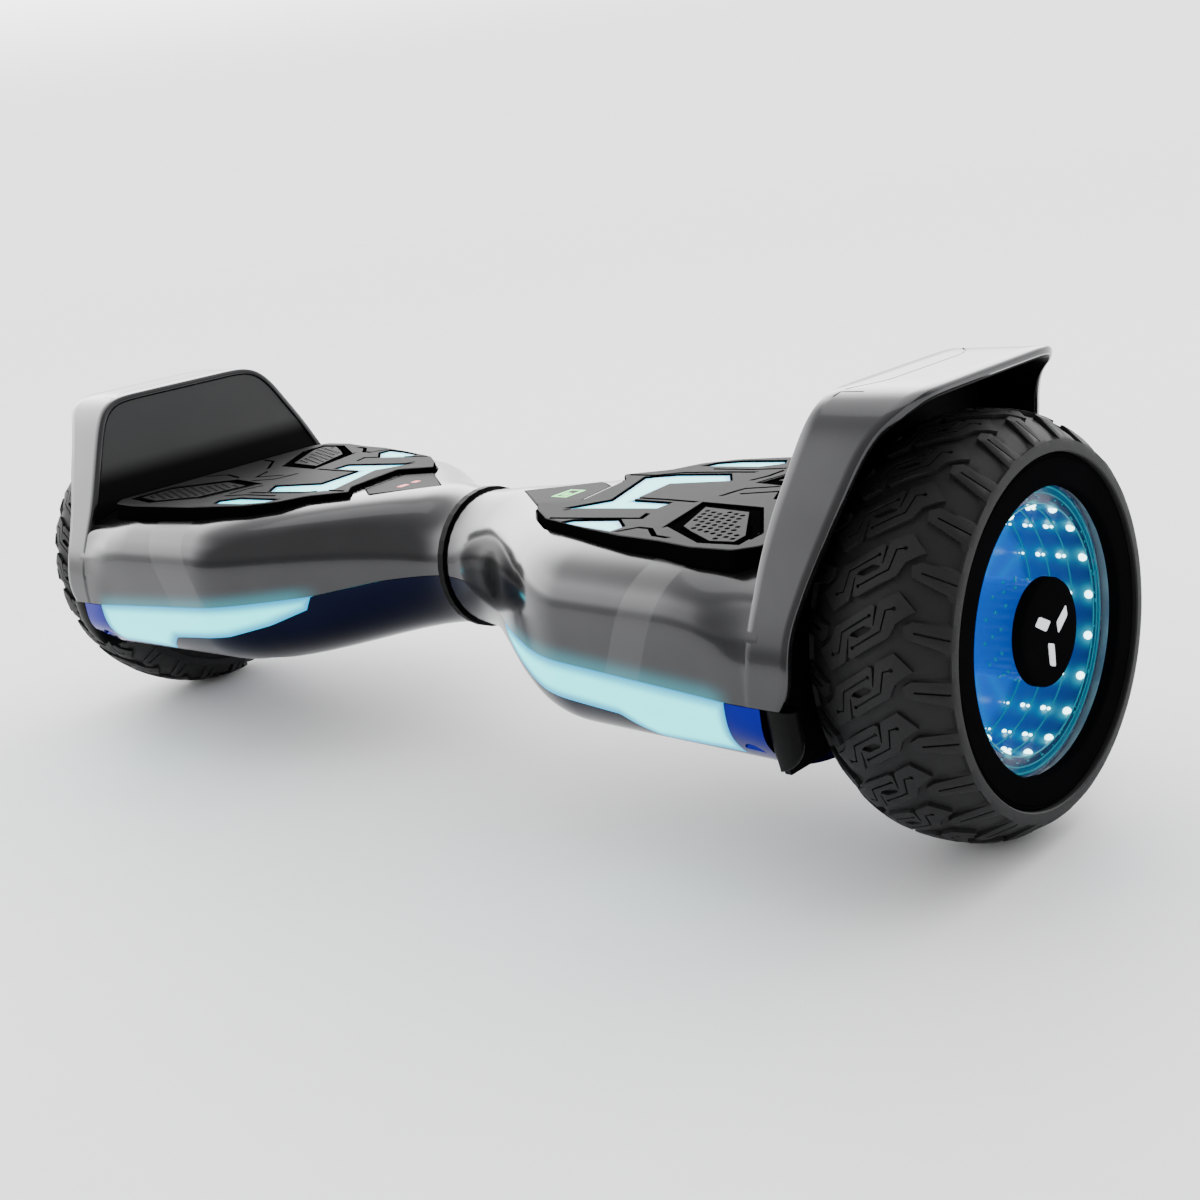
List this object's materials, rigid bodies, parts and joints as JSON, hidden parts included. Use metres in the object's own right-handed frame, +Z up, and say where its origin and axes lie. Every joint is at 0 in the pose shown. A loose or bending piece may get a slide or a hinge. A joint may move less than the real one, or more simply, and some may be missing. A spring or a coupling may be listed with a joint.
{
  "type": "self balancing hoverboard",
  "caption": "Two-wheeled self-balancing board with twisting half bodies, pressable foot pads, fendered hub-motor wheels with lit infinity-mirror discs, and front lights.",
  "frame": {"origin": "on the ground, midway between the wheels and under the axle line", "axes": "+X along the axle from the left wheel to the right, -Y is the front with the headlights, +Z up"},
  "size_m": [0.622, 0.196, 0.188],
  "materials": {
    "shell_gunmetal": "black-chrome plated plastic, glossy",
    "foot_wall_matte": "fine matte moulded plastic",
    "footpad_rubber": "dark grey moulded rubber with ribs",
    "cyan_light": "frosted light guide, lit cyan-white",
    "panel_black": "smoked satin plastic window",
    "underglow_diffuser": "frosted diffuser",
    "liner_black": "black moulded plastic",
    "steel": "turned steel",
    "circuit_board": "green solder mask",
    "tyre": "moulded rubber tread",
    "aluminium": "cast aluminium",
    "led_ring": "blue mirror bed with cyan lights",
    "blue_core": "lit blue clear plastic",
    "infinity_lens": "clear half-mirrored blue window",
    "gloss_black": "gloss black plastic",
    "copper": "copper windings on laminated steel",
    "bronze": "sintered bronze",
    "battery_wrap": "blue shrink wrap",
    "button_black": "matte black cap",
    "soft_cover": "soft black rubber"
  },
  "bodies": {
    "left_half": {"left_upper_shell": "shell_gunmetal", "left_lower_shell": "shell_gunmetal", "left_foot_wall": "foot_wall_matte", "left_status_panel": "panel_black", "left_headlight_lens": "cyan_light", "left_underglow_lens": "underglow_diffuser", "left_arch_liner": "liner_black", "left_axle_clamp": "steel", "left_gyro_board": "circuit_board", "left_axle": "steel", "left_stator": "copper", "left_chassis": "aluminium", "pivot_tube": "steel", "pivot_clip": "steel", "seam_ring": "liner_black", "controller_board": "circuit_board", "speaker": "liner_black", "charge_port": "liner_black"},
    "right_half": {"right_upper_shell": "shell_gunmetal", "right_lower_shell": "shell_gunmetal", "right_foot_wall": "foot_wall_matte", "right_status_panel": "panel_black", "right_headlight_lens": "cyan_light", "right_underglow_lens": "underglow_diffuser", "right_arch_liner": "liner_black", "right_axle_clamp": "steel", "right_gyro_board": "circuit_board", "right_axle": "steel", "right_stator": "copper", "right_chassis": "aluminium", "pivot_bush": "bronze", "battery_pack": "battery_wrap"},
    "left_wheel": {"left_tyre": "tyre", "left_motor_rim": "aluminium", "left_motor_cover": "aluminium", "left_bearing_inner": "steel", "left_bearing_outer": "steel", "left_light_well": "led_ring", "left_hub_spacer": "blue_core", "left_infinity_lens": "infinity_lens", "left_bezel_ring": "gloss_black", "left_hub_cap": "gloss_black"},
    "right_wheel": {"right_tyre": "tyre", "right_motor_rim": "aluminium", "right_motor_cover": "aluminium", "right_bearing_inner": "steel", "right_bearing_outer": "steel", "right_light_well": "led_ring", "right_hub_spacer": "blue_core", "right_infinity_lens": "infinity_lens", "right_bezel_ring": "gloss_black", "right_hub_cap": "gloss_black"},
    "left_pad": {"left_footpad": "footpad_rubber", "left_footpad_light": "cyan_light"},
    "right_pad": {"right_footpad": "footpad_rubber", "right_footpad_light": "cyan_light"},
    "button": {"power_button": "button_black"},
    "socket_cover": {"charge_cover": "soft_cover"}
  },
  "joints": [
    {"name": "centre_twist", "type": "hinge", "parent": "left_half", "child": "right_half", "pos_m": [0, 0, 0.0955], "axis": [1, 0, 0], "range_deg": [-15, 15]},
    {"name": "left_wheel_spin", "type": "hinge", "parent": "left_half", "child": "left_wheel", "pos_m": [-0.2805, 0, 0.085], "axis": [1, 0, 0], "continuous": true},
    {"name": "right_wheel_spin", "type": "hinge", "parent": "right_half", "child": "right_wheel", "pos_m": [0.2805, 0, 0.085], "axis": [1, 0, 0], "continuous": true},
    {"name": "left_pad_press", "type": "slide", "parent": "left_half", "child": "left_pad", "axis": [0, 0, -1], "range_m": [0, 0.0015], "stiffness_N_per_m": 20000, "springref_m": -0.0002},
    {"name": "right_pad_press", "type": "slide", "parent": "right_half", "child": "right_pad", "axis": [0, 0, -1], "range_m": [0, 0.0015], "stiffness_N_per_m": 20000, "springref_m": -0.0002},
    {"name": "power_button_press", "type": "slide", "parent": "left_half", "child": "button", "axis": [0, -1, 0], "range_m": [0, 0.0015], "stiffness_N_per_m": 800, "springref_m": -0.0005},
    {"name": "charge_cover_flip", "type": "hinge", "parent": "left_half", "child": "socket_cover", "pos_m": [-0.16, 0.0945, 0.0815], "axis": [1, 0, 0], "range_deg": [0, 100]}
  ]
}
